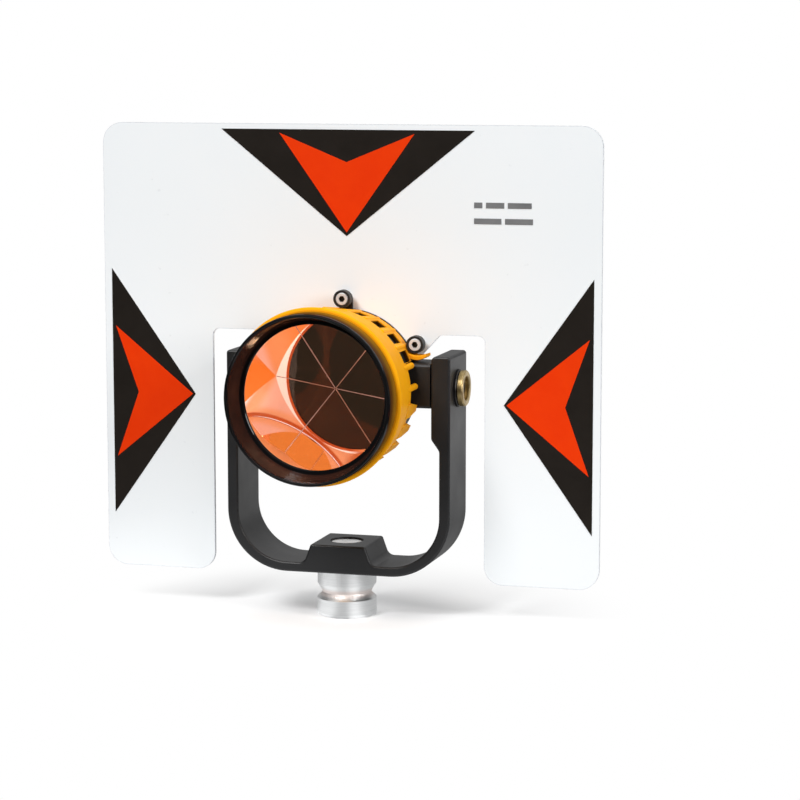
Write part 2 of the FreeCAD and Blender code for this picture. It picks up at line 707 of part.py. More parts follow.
def film(points, layer):
    """A thin printed layer on the plate's front; layer 0 lies on the plate."""
    front = RING_BACK_Y - FILM_THICK * (layer + 1)
    corners = [at(x, front, rel) for x, rel in points]
    face = Part.Face(Part.makePolygon(corners + [corners[0]]))
    return face.extrude(V(0, FILM_THICK, 0))


def make_black_films():
    films = [film([
        (-TOP_MARK_HALF, TOP_MARK_EDGE_REL), (TOP_MARK_HALF, TOP_MARK_EDGE_REL),
        (0, TOP_MARK_TIP_REL),
    ], 0)]
    for side in (1, -1):
        films.append(film([
            (side * SIDE_MARK_X, SIDE_MARK_REL + SIDE_MARK_HALF),
            (side * SIDE_MARK_X, SIDE_MARK_REL - SIDE_MARK_HALF),
            (side * SIDE_MARK_TIP_X, SIDE_MARK_REL),
        ], 0))
    return Part.makeCompound(films)


def make_orange_films():
    barb_rel = TOP_MARK_EDGE_REL - ARROW_GAP
    films = [film([
        (0, TOP_MARK_TIP_REL + ARROW_GAP), (-TOP_BARB_HALF, barb_rel), (0, TOP_NOTCH_REL),
        (TOP_BARB_HALF, barb_rel),
    ], 1)]
    for side in (1, -1):
        barb_x = side * (SIDE_MARK_X - ARROW_GAP)
        films.append(film([
            (side * (SIDE_MARK_TIP_X + SIDE_TIP_GAP), SIDE_MARK_REL),
            (barb_x, SIDE_MARK_REL + SIDE_BARB_HALF),
            (side * SIDE_NOTCH_X, SIDE_MARK_REL),
            (barb_x, SIDE_MARK_REL - SIDE_BARB_HALF),
        ], 1))
    return Part.makeCompound(films)


def make_offset_mark():
    """Two short rows of plain bars, where the target carries its offset note."""
    bars = []
    for row, lengths in enumerate(MARK_ROWS):
        x = MARK_X
        top = MARK_TOP_REL - row * MARK_ROW_STEP
        for length in lengths:
            bars.append(film([
                (x, top), (x + length, top), (x + length, top - MARK_HEIGHT),
                (x, top - MARK_HEIGHT),
            ], 0))
            x += length + MARK_SPACE
    return Part.makeCompound(bars)


def make_plate_screws():
    screws = []
    tail_y = RING_BACK_Y + PLATE_THICK + M3_WASHER_THICK + M3_NUT_THICK + M3_TAIL
    head_front = LUG_SEAT_Y - M3_HEAD_THICK
    for x, rel in lug_places():
        head = cyl_y(M3_HEAD_R, head_front, LUG_SEAT_Y, x, rel)
        head = head.makeFillet(0.4, edges_at_y(head, (head_front,)))
        shank = cyl_y(M3_R, LUG_SEAT_Y, tail_y, x, rel)
        socket = hexagon(M3_HEX_FLAT, at(x, head_front, rel), Y, M3_SOCKET)
        screws.append(head.fuse(shank).cut(socket))
    return Part.makeCompound(screws)


def make_plate_washers():
    washers = []
    back = RING_BACK_Y + PLATE_THICK
    for x, rel in lug_places():
        disc = cyl_y(M3_WASHER_R, back, back + M3_WASHER_THICK, x, rel)
        washers.append(disc.cut(cyl_y(M3_R, back, back + M3_WASHER_THICK, x, rel)))
    return Part.makeCompound(washers)


def make_plate_nuts():
    nuts = []
    front = RING_BACK_Y + PLATE_THICK + M3_WASHER_THICK
    for x, rel in lug_places():
        nut = hexagon(M3_NUT_FLAT, at(x, front, rel), Y, M3_NUT_THICK)
        nuts.append(nut.cut(cyl_y(M3_R, front, front + M3_NUT_THICK, x, rel)))
    return Part.makeCompound(nuts)


# ---- build ----
os.makedirs("parts", exist_ok=True)
save(make_yoke(), "yoke")
save(make_adapter(), "pole_adapter")
save(make_set_screw(), "adapter_set_screw")
save(make_bush(1), "right_pivot_bush")
save(make_bush(-1), "left_pivot_bush")
save(make_clamp_washer(), "clamp_washer")
save(make_friction_washer(1), "right_friction_washer")
save(make_friction_washer(-1), "left_friction_washer")
save(make_right_stud(), "right_pivot_stud")
save(make_lock_nut(), "tilt_lock_nut")
save(make_left_screw(), "left_pivot_screw")
save(make_carrier(), "carrier_ring")
save(make_lock_screws(), "canister_screws")
save(make_housing(), "canister_housing")
save(make_cell(), "prism_cell")
save(make_bezel(), "front_bezel")
save(make_gasket(), "front_gasket")
save(make_glass(), "corner_cube_prism")
save(make_coating(), "copper_coating")
save(make_seat(), "prism_seat")
save(make_rear_cap(), "rear_cap")
save(make_cap_seal(), "rear_cap_seal")
save(make_plate(), "target_plate")
save(make_black_films(), "black_triangle_films")
save(make_orange_films(), "orange_arrow_films")
save(make_offset_mark(), "offset_mark_films")
save(make_plate_screws(), "target_plate_screws")
save(make_plate_washers(), "target_plate_washers")
save(make_plate_nuts(), "target_plate_nuts")
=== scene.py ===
import math

import bmesh
import bpy
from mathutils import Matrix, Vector


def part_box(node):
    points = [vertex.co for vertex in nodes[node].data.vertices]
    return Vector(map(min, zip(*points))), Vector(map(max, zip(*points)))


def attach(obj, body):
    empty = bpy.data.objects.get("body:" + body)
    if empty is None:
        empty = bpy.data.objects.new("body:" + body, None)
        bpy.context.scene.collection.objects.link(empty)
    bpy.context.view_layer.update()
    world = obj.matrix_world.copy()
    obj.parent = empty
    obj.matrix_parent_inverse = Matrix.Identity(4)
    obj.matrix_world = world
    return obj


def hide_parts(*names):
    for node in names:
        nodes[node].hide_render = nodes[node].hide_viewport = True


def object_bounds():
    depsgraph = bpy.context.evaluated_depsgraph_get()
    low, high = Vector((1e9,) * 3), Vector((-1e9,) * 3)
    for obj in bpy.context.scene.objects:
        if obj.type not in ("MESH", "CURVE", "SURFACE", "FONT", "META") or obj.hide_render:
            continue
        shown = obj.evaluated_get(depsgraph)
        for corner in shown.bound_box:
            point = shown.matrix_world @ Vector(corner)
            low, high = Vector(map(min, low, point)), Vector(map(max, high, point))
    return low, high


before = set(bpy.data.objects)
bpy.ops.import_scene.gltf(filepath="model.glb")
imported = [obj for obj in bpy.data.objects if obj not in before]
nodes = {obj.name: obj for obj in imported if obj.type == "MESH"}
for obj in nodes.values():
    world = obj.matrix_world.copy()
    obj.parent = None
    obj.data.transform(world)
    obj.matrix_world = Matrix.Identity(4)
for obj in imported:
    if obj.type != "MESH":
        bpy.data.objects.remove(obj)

# Looks of a survey prism: corner cube glass in a yellow canister, black yoke, white target.
# Metres, in the CAD model's own frame: +Z up, the glass faces -Y, origin under the pole adapter.

MM = 0.001
cad_low, cad_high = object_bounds()


# ---------------------------------------------------------------- places, from the frame
BEZEL_LOW, BEZEL_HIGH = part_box("front_bezel")
BEZEL_FRONT = BEZEL_LOW.y
AXIS_Z = ((BEZEL_LOW + BEZEL_HIGH) / 2).z     # height of the optical axis
ADAPTER_LOW, ADAPTER_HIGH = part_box("pole_adapter")
STEM_TOP = ADAPTER_HIGH.z
CANISTER_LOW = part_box("canister_housing")[0]
CANISTER_FRONT = CANISTER_LOW.y
CANISTER_R = AXIS_Z - CANISTER_LOW.z
SCREW_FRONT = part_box("target_plate_screws")[0].y
GLASS_LOW, GLASS_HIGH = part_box("corner_cube_prism")
GLASS_FRONT, GLASS_APEX = GLASS_LOW.y, GLASS_HIGH.y
GLASS_R = (GLASS_HIGH.x - GLASS_LOW.x) / 2

# ---------------------------------------------------------------- sizes that the looks need
GROOVE_Z = ADAPTER_LOW.z + 10.2 * MM          # middle of the adapter's groove
CANISTER_TAPER = 0.112                        # radius that the shell loses per length
WINDOW_FRONT = -25.3 * MM                     # the windows begin here
WINDOW_LOW = AXIS_Z + 12 * MM                 # and are all above this height
BEZEL_WALL_R = 34.9 * MM                      # the deep inner wall is within this radius
BEZEL_FLOOR_R = 32.9 * MM                     # the floor round the glass within this one
BEZEL_BAND_R = 35.9 * MM                      # and the outer band beyond this one

THIRD = 120                                   # degrees between the inner edges of a corner cube
EDGE_ANGLE = -4.7                             # direction of the first one, seen from the front
ACROSS = math.sqrt(2 / 3)                     # an inner edge's share across the optical axis
ALONG = math.sqrt(1 / 3)                      # and along it, as on any cube
EDGE_HALF = 0.16 * MM                         # half width of the ground bevel on each edge
EDGE_LIFT = 1.02                              # bevel's height over the edge, in half widths
EDGE_START, EDGE_END = 0.4 * MM, 0.3 * MM     # bevel's distance from the apex and the side
INTO_COAT = 0.15 * MM                         # the facets end inside the copper behind them
BEVEL_R = 0.95 * MM                           # ground bevel round the entrance face
STEPS = 96                                    # steps round the glass in each third
TO_FRONT = Vector((0, -1, 0))

FLOOR_R = 6.0
FLOOR_GAP = 0.2 * MM                          # below the object
FLOOR_SHADED, FLOOR_WHITE = 0.02, 0.13        # the camera sees shade within, white beyond
FLOOR_NEAR, FLOOR_FAR = 0.155, 0.24           # the patch of floor that the adapter reflects
NEAR_LEVEL = 0.50
NEAR_LOBES = (                                # azimuth, outer and inner half angle, strength
    (-55, 50, 12, 0.52),
    (40, 24, 3, 0.50),
    (20, 80, 40, 0.12),
)

CAMERA_AZIMUTH, CAMERA_ELEVATION = 15.86, 7.72
CAMERA_AIM = Vector((0.0243, 0.0, AXIS_Z - 0.0062))
CAMERA_DISTANCE = 1.1318
CAMERA_LENS, CAMERA_SENSOR = 117.1, 36.0

LIGHT_AIM = Vector((0, 0, 0.11))
LIGHTS = (                                    # name, place, width and height, power
    ("key", (-0.45, -1.3, 1.35), (0.7, 0.5), 27),
    ("fill_right", (1.40, -0.60, 0.70), (0.5, 0.6), 14),
)

WARM_AZIMUTH, WARM_ELEVATION = 10, 31         # a warm patch that shows in the glass
WARM_OUTER, WARM_INNER = 11, 6
WARM_LEVEL = 1.02
WARM_COLOUR = (1.0, 0.57, 0.25)
WHITE = (1.0, 1.0, 1.0)

MIRROR_BOUNCES, ALL_BOUNCES = 14, 20          # fewer leave the lower part of the glass black


# ---------------------------------------------------------------- node trees
class Graph:
    """Short way to write shader nodes: a call adds a node and returns it or one of its outputs."""

    def __init__(self, node_tree):
        self.tree = node_tree

    def connect(self, value, socket):
        if isinstance(value, bpy.types.NodeSocket):
            self.tree.links.new(value, socket)
        elif isinstance(value, tuple) and len(value) == 3 and socket.type == "RGBA":
            socket.default_value = (*value, 1)
        else:
            socket.default_value = value

    def add(self, kind, **inputs):
        made = self.tree.nodes.new("ShaderNode" + kind)
        for name, value in inputs.items():
            self.connect(value, made.inputs[name])
        return made

    def fill(self, made, *values):
        """Gives a node its first inputs, in their order."""
        for socket, value in zip(made.inputs, values):
            self.connect(value, socket)

    def maths(self, operation, *values):
        made = self.add("Math")
        made.operation = operation
        self.fill(made, *values)
        return made.outputs[0]

    def plus(self, total, *others):
        for other in others:
            total = self.maths("ADD", total, other)
        return total

    def minus(self, a, b):
        return self.maths("SUBTRACT", a, b)

    def times(self, product, *others):
        for other in others:
            product = self.maths("MULTIPLY", product, other)
        return product

    def distance(self, a, b):
        return self.maths("SQRT", self.plus(self.times(a, a), self.times(b, b)))

    def dot(self, a, b):
        made = self.add("VectorMath")
        made.operation = "DOT_PRODUCT"
        self.fill(made, a, b)
        return made.outputs["Value"]

    def levels(self, value, low, high, to_low=0.0, to_high=1.0, how="LINEAR"):
        made = self.add("MapRange")
        made.interpolation_type = how
        self.fill(made, value, low, high, to_low, to_high)
        return made.outputs[0]

    def smooth(self, value, low, high, to_low=0.0, to_high=1.0):
        return self.levels(value, low, high, to_low, to_high, "SMOOTHSTEP")

    def mix(self, factor, a, b):
        """Mix of two colours, the second where the factor is 1."""
        made = self.add("Mix")
        made.data_type = "RGBA"
        self.connect(factor, made.inputs[0])
        self.connect(a, made.inputs[6])
        self.connect(b, made.inputs[7])
        return made.outputs[2]

    def blend(self, factor, a, b):
        """Mix of two shaders, the second where the factor is 1."""
        made = self.add("MixShader")
        self.fill(made, factor, a, b)
        return made.outputs[0]

    def seen_or_lit(self, seen, lit):
        """One shader for what the camera sees, another for light and reflections."""
        return self.blend(self.add("LightPath").outputs["Is Camera Ray"], lit, seen)

    def lobe(self, unit, towards, outer, inner, strength):
        """A soft round patch of light: full inside inner degrees of a direction, none past outer."""
        return self.smooth(self.dot(unit, towards), math.cos(math.radians(outer)),
                           math.cos(math.radians(inner)), 0.0, strength)


class Tree(Graph):
    """The node tree of one material."""

    def __init__(self, name):
        self.material = bpy.data.materials.new(name)
        self.material.use_nodes = True
        super().__init__(self.material.node_tree)
        self.bsdf = self.tree.nodes["Principled BSDF"]
        self.out = self.tree.nodes["Material Output"]
        self.place = self.add("TexCoord").outputs["Object"]

    def noise(self, scale, detail=3.0, rough=0.55, vector=None):
        made = self.add("TexNoise", Vector=vector or self.place, Scale=scale, Detail=detail,
                        Roughness=rough)
        return made.outputs["Fac"]

    def mottle(self, noise, dark, light, low=0.3, high=0.7):
        """Two tones, spread by a noise."""
        return self.mix(self.levels(noise, low, high), dark, light)

    def spread(self, noise, low, high):
        """A noise as values from low to high."""
        return self.levels(noise, 0.3, 0.7, low, high)

    def stretched(self, *scale):
        return self.add("Mapping", Vector=self.place, Scale=scale).outputs[0]

    def bump(self, height, strength, depth):
        made = self.add("Bump", Height=height, Strength=strength, Distance=depth)
        self.connect(made.outputs[0], self.bsdf.inputs["Normal"])

    def edges(self, radius):
        """1 on an outer edge, 0 on a flat face, where the rounded normal is the true one; marks wear
        and painted shade.
        """
        bevel = self.add("Bevel", Radius=radius)
        bevel.samples = 4
        normal = self.add("NewGeometry").outputs["Normal"]
        flat, worn = 0.995, 0.86
        return self.levels(self.dot(bevel.outputs[0], normal), flat, worn)

    def crevice_shade(self, reach):
        """1 deep in a corner, 0 in the open; it masks painted shade."""
        made = self.add("AmbientOcclusion", Distance=reach)
        made.samples = 6
        in_open, in_corner = 0.85, 0.35
        return self.levels(made.outputs["AO"], in_open, in_corner)

    def set(self, **inputs):
        for key, value in inputs.items():
            self.connect(value, self.bsdf.inputs[key.replace("_", " ")])

    def axes(self):
        """x, y and z of the point, in the CAD model's frame."""
        return self.add("SeparateXYZ", Vector=self.place).outputs

    def axis_distance(self, x, z):
        """Distance from the optical axis."""
        return self.distance(x, self.minus(z, AXIS_Z))


# ---------------------------------------------------------------- materials
def satin_black_paint():
    t = Tree("satin_black_paint")
    cloud = t.noise(38, 4.0, 0.6)
    base = t.mottle(cloud, (0.0066, 0.0070, 0.0080), (0.0100, 0.0104, 0.0116), 0.35)
    worn = t.times(t.edges(0.6 * MM), t.levels(t.noise(420, 3.0), 0.5, 0.72))
    t.set(Base_Color=t.mix(worn, base, (0.11, 0.115, 0.12)))
    t.set(Roughness=t.spread(cloud, 0.40, 0.50), Specular_IOR_Level=0.5)
    t.bump(t.noise(1400, 2.0, 0.6), 0.25, 0.06 * MM)
    return t.material


def turned_aluminium():
    """Lathe marks run round the adapter. Its groove is softer, and warmer with a painted reflection;
    its stem's end duller.
    """
    t = Tree("turned_aluminium")
    lathe = t.noise(60, 3.0, 0.6, t.stretched(1, 1, 90))
    fine = t.noise(60, 2.0, 0.7, t.stretched(0.4, 0.4, 420))
    streaks = t.noise(90, 3.0, 0.6, t.stretched(3, 3, 0.15))
    z = t.axes()["Z"]
    base = t.mottle(lathe, (0.80, 0.815, 0.82), (0.93, 0.94, 0.945), 0.35, 0.65)
    base = t.mix(t.levels(streaks, 0.62, 0.80, 0.0, 0.30), base, (0.66, 0.63, 0.60))
    groove = t.smooth(t.maths("ABSOLUTE", t.minus(z, GROOVE_Z)), 2.6 * MM, 0.6 * MM)
    # painted reflection: the groove is tinted warm, standing in for the warm parts reflected in it
    base = t.mix(t.times(groove, 0.5), base, (0.80, 0.66, 0.60))
    top = t.levels(z, STEM_TOP - 0.3 * MM, STEM_TOP - 0.1 * MM)
    t.set(Base_Color=base, Metallic=t.levels(top, 0.0, 1.0, 1.0, 0.45), Anisotropic=0.3)
    rough = t.spread(fine, 0.30, 0.42)
    t.set(Roughness=t.plus(rough, t.times(top, 0.12), t.times(groove, 0.15)))
    t.bump(fine, 0.35, 0.03 * MM)
    return t.material


def aged_brass():
    t = Tree("aged_brass")
    patina = t.noise(160, 4.0, 0.65)
    base = t.mottle(patina, (0.53, 0.40, 0.18), (0.30, 0.21, 0.09), 0.4, 0.68)
    rubbed = t.times(t.edges(0.5 * MM), 0.8)
    t.set(Base_Color=t.mix(rubbed, base, (0.86, 0.72, 0.46)), Metallic=1.0)
    t.set(Roughness=t.spread(patina, 0.30, 0.48))
    t.bump(t.noise(900, 3.0), 0.2, 0.03 * MM)
    return t.material


def yellow_plastic():
    """Yellow moulding, a little deeper towards the back, with painted shade in its crevices and
    inside its windows.
    """
    t = Tree("yellow_plastic")
    x, y, z = t.axes()
    cloud = t.noise(26, 4.0, 0.55)
    base = t.mottle(cloud, (0.96, 0.43, 0.008), (0.93, 0.385, 0.006), 0.32, 0.68)
    backward = t.smooth(y, -24 * MM, -8 * MM, 0.0, 0.55)
    base = t.mix(backward, base, (0.92, 0.31, 0.012))
    speck = t.levels(t.noise(700, 2.0, 0.6), 0.66, 0.74, 0.0, 0.35)
    base = t.mix(speck, base, (0.72, 0.25, 0.012))
    # painted shade: darker orange deep in corners and crevices
    base = t.mix(t.times(t.crevice_shade(2.5 * MM), 0.6), base, (0.50, 0.15, 0.004))
    base = t.mix(t.times(t.edges(0.5 * MM), 0.35), base, (1.0, 0.56, 0.05))
    # painted shade: the inner faces of the windows are made dark brown
    lost = t.times(t.minus(y, CANISTER_FRONT), CANISTER_TAPER)
    under_skin = t.levels(t.plus(lost, t.axis_distance(x, z)), CANISTER_R - 0.3 * MM,
                          CANISTER_R - 0.6 * MM)
    behind = t.levels(y, WINDOW_FRONT - 0.3 * MM, WINDOW_FRONT)
    above = t.levels(z, WINDOW_LOW - 1 * MM, WINDOW_LOW)
    window_shade = t.times(under_skin, behind, above, 0.95)
    t.set(Base_Color=t.mix(window_shade, base, (0.030, 0.011, 0.004)))
    t.set(Roughness=t.spread(t.noise(120, 3.0), 0.38, 0.48), Specular_IOR_Level=0.015)
    t.set(Subsurface_Weight=0.05, Subsurface_Radius=(0.004, 0.002, 0.0005), Subsurface_Scale=1.0)
    t.bump(t.noise(900, 2.0, 0.6), 0.16, 0.03 * MM)
    return t.material


def glossy_black_plastic():
    """Black on the rim; down the deep inner wall a dark amber brown, a painted reflection of the
    orange glass; olive gold on the outer band where it meets the yellow canister, a painted
    reflection of it."""
    t = Tree("glossy_black_plastic")
    x, y, z = t.axes()
    radius = t.axis_distance(x, z)
    depth = t.minus(y, BEZEL_FRONT)
    cloud = t.noise(55, 3.0, 0.6)
    inside = t.levels(radius, BEZEL_WALL_R, BEZEL_WALL_R - 0.4 * MM)
    floor = t.levels(radius, BEZEL_FLOOR_R, BEZEL_FLOOR_R - 0.3 * MM)
    wall = t.times(inside, t.levels(depth, 0.8 * MM, 1.8 * MM), t.minus(1.0, floor))
    # painted reflection: the inner wall's amber brown stands in for the orange glass seen in it
    brown = t.mottle(cloud, (0.026, 0.011, 0.008), (0.050, 0.019, 0.012), 0.35)
    base = t.mix(wall, (0.006, 0.006, 0.0065), brown)
    outer = t.levels(radius, BEZEL_BAND_R, BEZEL_BAND_R + 0.25 * MM)
    band = t.times(outer, t.smooth(depth, 1.5 * MM, 2.4 * MM))
    # painted reflection: the band's olive gold stands in for the yellow canister seen in it, darker
    # towards the front
    gold = t.mix(t.smooth(depth, 3 * MM, 11 * MM), (0.085, 0.034, 0.009), (0.34, 0.16, 0.010))
    gold = t.mix(t.levels(cloud, 0.35, 0.7, 0.0, 0.35), gold, (0.05, 0.02, 0.006))
    t.set(Base_Color=t.mix(band, base, gold), Specular_IOR_Level=0.0, Coat_Roughness=0.10)
    t.set(Coat_Weight=t.levels(band, 0.0, 1.0, 0.40, 0.06))
    rough = t.spread(t.noise(180, 3.0), 0.20, 0.30)
    t.set(Roughness=t.plus(rough, t.times(band, 0.22)))
    t.bump(t.noise(500, 2.0), 0.03, 0.03 * MM)
    return t.material


def moulded_black_plastic():
    t = Tree("moulded_black_plastic")
    grain = t.noise(1100, 3.0, 0.6)
    base = t.mottle(t.noise(60, 3.0), (0.008, 0.0075, 0.0075), (0.013, 0.012, 0.012))
    t.set(Base_Color=base, Roughness=t.spread(grain, 0.42, 0.58))
    t.bump(grain, 0.3, 0.05 * MM)
    return t.material


def black_rubber():
    t = Tree("black_rubber")
    grain = t.noise(700, 4.0, 0.7)
    t.set(Base_Color=t.mottle(grain, (0.012, 0.012, 0.012), (0.024, 0.023, 0.022)), Roughness=0.75)
    t.bump(grain, 0.4, 0.06 * MM)
    return t.material


def white_plate_paint():
    """White paint with faint specks, and painted shade that makes the sheet's edges grey."""
    t = Tree("white_plate_paint")
    cloud = t.noise(9, 4.0, 0.6)
    base = t.mottle(cloud, (0.90, 0.94, 0.965), (0.917, 0.952, 0.973))
    speck = t.levels(t.noise(420, 2.0, 0.5), 0.73, 0.80, 0.0, 0.22)
    base = t.mix(speck, base, (0.62, 0.65, 0.68))
    # painted shade: grey-blue along the edges of the sheet
    rim = t.times(t.edges(0.5 * MM), 0.75)
    t.set(Base_Color=t.mix(rim, base, (0.34, 0.37, 0.44)))
    t.set(Roughness=t.spread(cloud, 0.30, 0.42), Specular_IOR_Level=0.4)
    t.bump(t.noise(650, 2.0, 0.6), 0.10, 0.03 * MM)
    return t.material


def printed_film(name, dark, light):
    """Printed ink with a faint mottle."""
    t = Tree(name)
    grain = t.noise(900, 2.0, 0.6)
    t.set(Base_Color=t.mottle(t.noise(70, 4.0, 0.6), dark, light), Specular_IOR_Level=0.10)
    t.set(Roughness=t.spread(grain, 0.45, 0.59))
    t.bump(grain, 0.12, 0.02 * MM)
    return t.material


def plated_steel(name, dark, light, low, high):
    """Steel with a roughness from low to high."""
    t = Tree(name)
    cloud = t.noise(420, 3.0, 0.6)
    t.set(Base_Color=t.mottle(cloud, dark, light), Metallic=1.0)
    t.set(Roughness=t.spread(cloud, low, high))
    t.bump(t.noise(1500, 2.0), 0.15, 0.02 * MM)
    return t.material


def socket_screw_steel():
    """Bright zinc on the head, with painted shade that makes it black deep in the hexagon socket."""
    t = Tree("socket_screw_steel")
    y = t.axes()["Y"]
    cloud = t.noise(420, 3.0, 0.6)
    base = t.mottle(cloud, (0.70, 0.71, 0.73), (0.80, 0.81, 0.83))
    # painted shade: black deep in the socket
    deep = t.levels(y, SCREW_FRONT + 0.25 * MM, SCREW_FRONT + 0.7 * MM)
    t.set(Base_Color=t.mix(deep, base, (0.012, 0.011, 0.010)), Metallic=0.35)
    t.set(Roughness=t.spread(cloud, 0.32, 0.44))
    t.bump(t.noise(1500, 2.0), 0.15, 0.02 * MM)
    return t.material


def copper_mirror():
    """Copper vacuum coating, seen through the glass."""
    t = Tree("copper_mirror")
    haze = t.noise(140, 3.0, 0.6)
    t.set(Base_Color=t.mottle(haze, (0.965, 0.80, 0.66), (0.975, 0.82, 0.68)))
    t.set(Metallic=1.0, Roughness=0.02)
    t.bump(t.noise(22, 2.0), 0.02, 0.2 * MM)
    return t.material


def edge_line():
    """The narrow ground bevel where two rear faces of the glass meet, with a painted glow."""
    t = Tree("ground_edge_line")
    t.set(Base_Color=t.mottle(t.noise(900, 3.0), (0.30, 0.15, 0.12), (0.39, 0.22, 0.18)))
    # painted light: the bevel glows, though it is no lamp
    t.set(Roughness=0.6, Emission_Color=(0.75, 0.42, 0.34), Emission_Strength=0.30)
    return t.material


def ground_side():
    """Ground side of the glass with an orange lacquer behind it. Its emission is a painted glow
    standing in for light inside the glass, in painted tones. Its painted sheen is deep orange face
    on, and pale at a low angle."""
    t = Tree("ground_glass_side")
    x, y, z = t.axes()
    slant = t.add("LayerWeight", Blend=0.5).outputs["Facing"]
    # painted light and shade: the glow's tones change with height, depth and side
    high = t.smooth(z, AXIS_Z + 18 * MM, AXIS_Z + 28 * MM)
    upper_tone = t.mix(high, (0.89, 0.54, 0.53), (0.77, 0.37, 0.25))
    near_front = t.smooth(y, -39.5 * MM, -43.5 * MM)
    upper_tone = t.mix(near_front, upper_tone, (0.84, 0.42, 0.28))
    above = t.smooth(z, AXIS_Z - 5 * MM, AXIS_Z + 1.5 * MM)
    middle_tone = t.mix(above, (0.82, 0.35, 0.185), upper_tone)
    glow = t.mix(t.smooth(slant, 0.03, 0.19), (0.86, 0.18, 0.018), middle_tone)
    rim = t.smooth(y, GLASS_FRONT + 1.9 * MM, GLASS_FRONT + 0.9 * MM)
    # painted shade: darker red near the entrance face
    glow = t.mix(t.times(rim, 0.9), glow, (0.42, 0.05, 0.006))
    # the pale painted sheen is bluish, because the copper facets that show it make it warmer
    glow = t.mix(t.smooth(slant, 0.60, 0.83), glow, (1.09, 1.43, 2.0))
    left_tone = t.mix(rim, (0.50, 0.12, 0.033), (0.80, 0.36, 0.20))
    glow = t.mix(t.smooth(x, 3 * MM, -4 * MM), glow, left_tone)
    cloud = t.noise(60, 4.0, 0.6)
    glow = t.mix(t.spread(cloud, 0.0, 0.06), glow, (0.8, 0.3, 0.1))
    t.set(Base_Color=t.mottle(cloud, (0.26, 0.09, 0.03), (0.34, 0.12, 0.04)), Roughness=0.5)
    # painted light: the side glows, though it is no lamp
    t.set(Emission_Color=glow, Emission_Strength=1.0)
    t.bump(t.noise(900, 2.0), 0.1, 0.02 * MM)
    return t.material


def optical_glass():
    """Polished glass. Shadow rays pass it, so the lamps light what lies behind it."""
    t = Tree("optical_glass")
    t.set(Base_Color=(1.0, 0.985, 0.975), Roughness=0.0, Transmission_Weight=1.0, IOR=1.5)
    t.bump(t.noise(90), 0.01, 0.01 * MM)
    shadow = t.add("LightPath").outputs["Is Shadow Ray"]
    clear = t.add("BsdfTransparent").outputs[0]
    t.connect(t.blend(shadow, t.bsdf.outputs[0], clear), t.out.inputs["Surface"])
    return t.material


def dress(material, *names):
    """Gives CAD nodes their finished material."""
    for name in names:
        materials = nodes[name].data.materials
        materials.clear()
        materials.append(material)


# ---------------------------------------------------------------- the glass
def new_object(name, mesh, *materials):
    made = bpy.data.objects.new(name, mesh)
    bpy.context.scene.collection.objects.link(made)
    for material in materials:
        mesh.materials.append(material)
    return made


def mesh_from(bm, name):
    mesh = bpy.data.meshes.new(name)
    bm.to_mesh(mesh)
    bm.free()
    return mesh


def round_axis(radius, y, turn):
    """The point at a radius and a turn round the optical axis."""
    return Vector((radius * math.cos(turn), y, AXIS_Z + radius * math.sin(turn)))


def glass_mesh(apex):
    """Corner cube: entrance face, bevel round it, ground side and three rear facets. Material 0 is
    the polished glass, 1 the ground side."""
    sunk = apex + Vector((0, INTO_COAT, 0))
    bm = bmesh.new()
    known = {}

    def vertex(point):
        key = tuple(round(c * 1e7) for c in point)
        if key not in known:
            known[key] = bm.verts.new(point)
        return known[key]

    def face(points, material_index):
        made = bm.faces.new([vertex(point) for point in points])
        made.material_index = material_index

    count = STEPS * 3
    front = []
    shoulder = []
    back = []
    for i in range(count):
        turn = math.radians(EDGE_ANGLE) + 2 * math.pi * i / count
        front.append(round_axis(GLASS_R - BEVEL_R, GLASS_FRONT, turn))
        shoulder.append(round_axis(GLASS_R, GLASS_FRONT + BEVEL_R, turn))
        # the side ends where it meets the facet between the two nearest inner edges
        facet_turn = math.radians(EDGE_ANGLE + THIRD / 2 + THIRD * (i // STEPS))
        rise = GLASS_R * math.cos(turn - facet_turn) * math.sqrt(2)
        back.append(round_axis(GLASS_R, sunk.y - rise, turn))
    face(reversed(front), 0)
    for i in range(count):
        j = (i + 1) % count
        face([front[i], front[j], shoulder[j], shoulder[i]], 1)
        face([shoulder[i], shoulder[j], back[j], back[i]], 1)
    for start in range(0, count, STEPS):
        face([sunk] + [back[i % count] for i in range(start, start + STEPS + 1)], 0)
    bm.normal_update()
    bmesh.ops.recalc_face_normals(bm, faces=bm.faces)
    return mesh_from(bm, "corner_cube_glass")


def edge_strips(apex):
    """Narrow flat bevels along the three inner edges, just inside the glass."""
    bm = bmesh.new()
    for k in range(3):
        turn = math.radians(EDGE_ANGLE + THIRD * k)
        edge = Vector((ACROSS * math.cos(turn), -ALONG, ACROSS * math.sin(turn)))
        side = edge.cross(TO_FRONT).normalized() * EDGE_HALF
        inward = (TO_FRONT - edge * edge.dot(TO_FRONT)).normalized()
        lift = inward * (EDGE_HALF * EDGE_LIFT)
        start = apex + edge * EDGE_START + lift
        end = apex + edge * (GLASS_R / ACROSS - EDGE_END) + lift
        corners = (start - side, start + side, end + side, end - side)
        bm.faces.new([bm.verts.new(corner) for corner in corners])
    return mesh_from(bm, "prism_edge_bevels")


# ---------------------------------------------------------------- floor, camera, light
def direction(azimuth, elevation=0.0):
    """Unit vector towards a point of the studio; azimuth 0 is in front, 90 to the right."""
    az, el = math.radians(azimuth), math.radians(elevation)
    return Vector((math.sin(az) * math.cos(el), -math.cos(az) * math.cos(el), math.sin(el)))


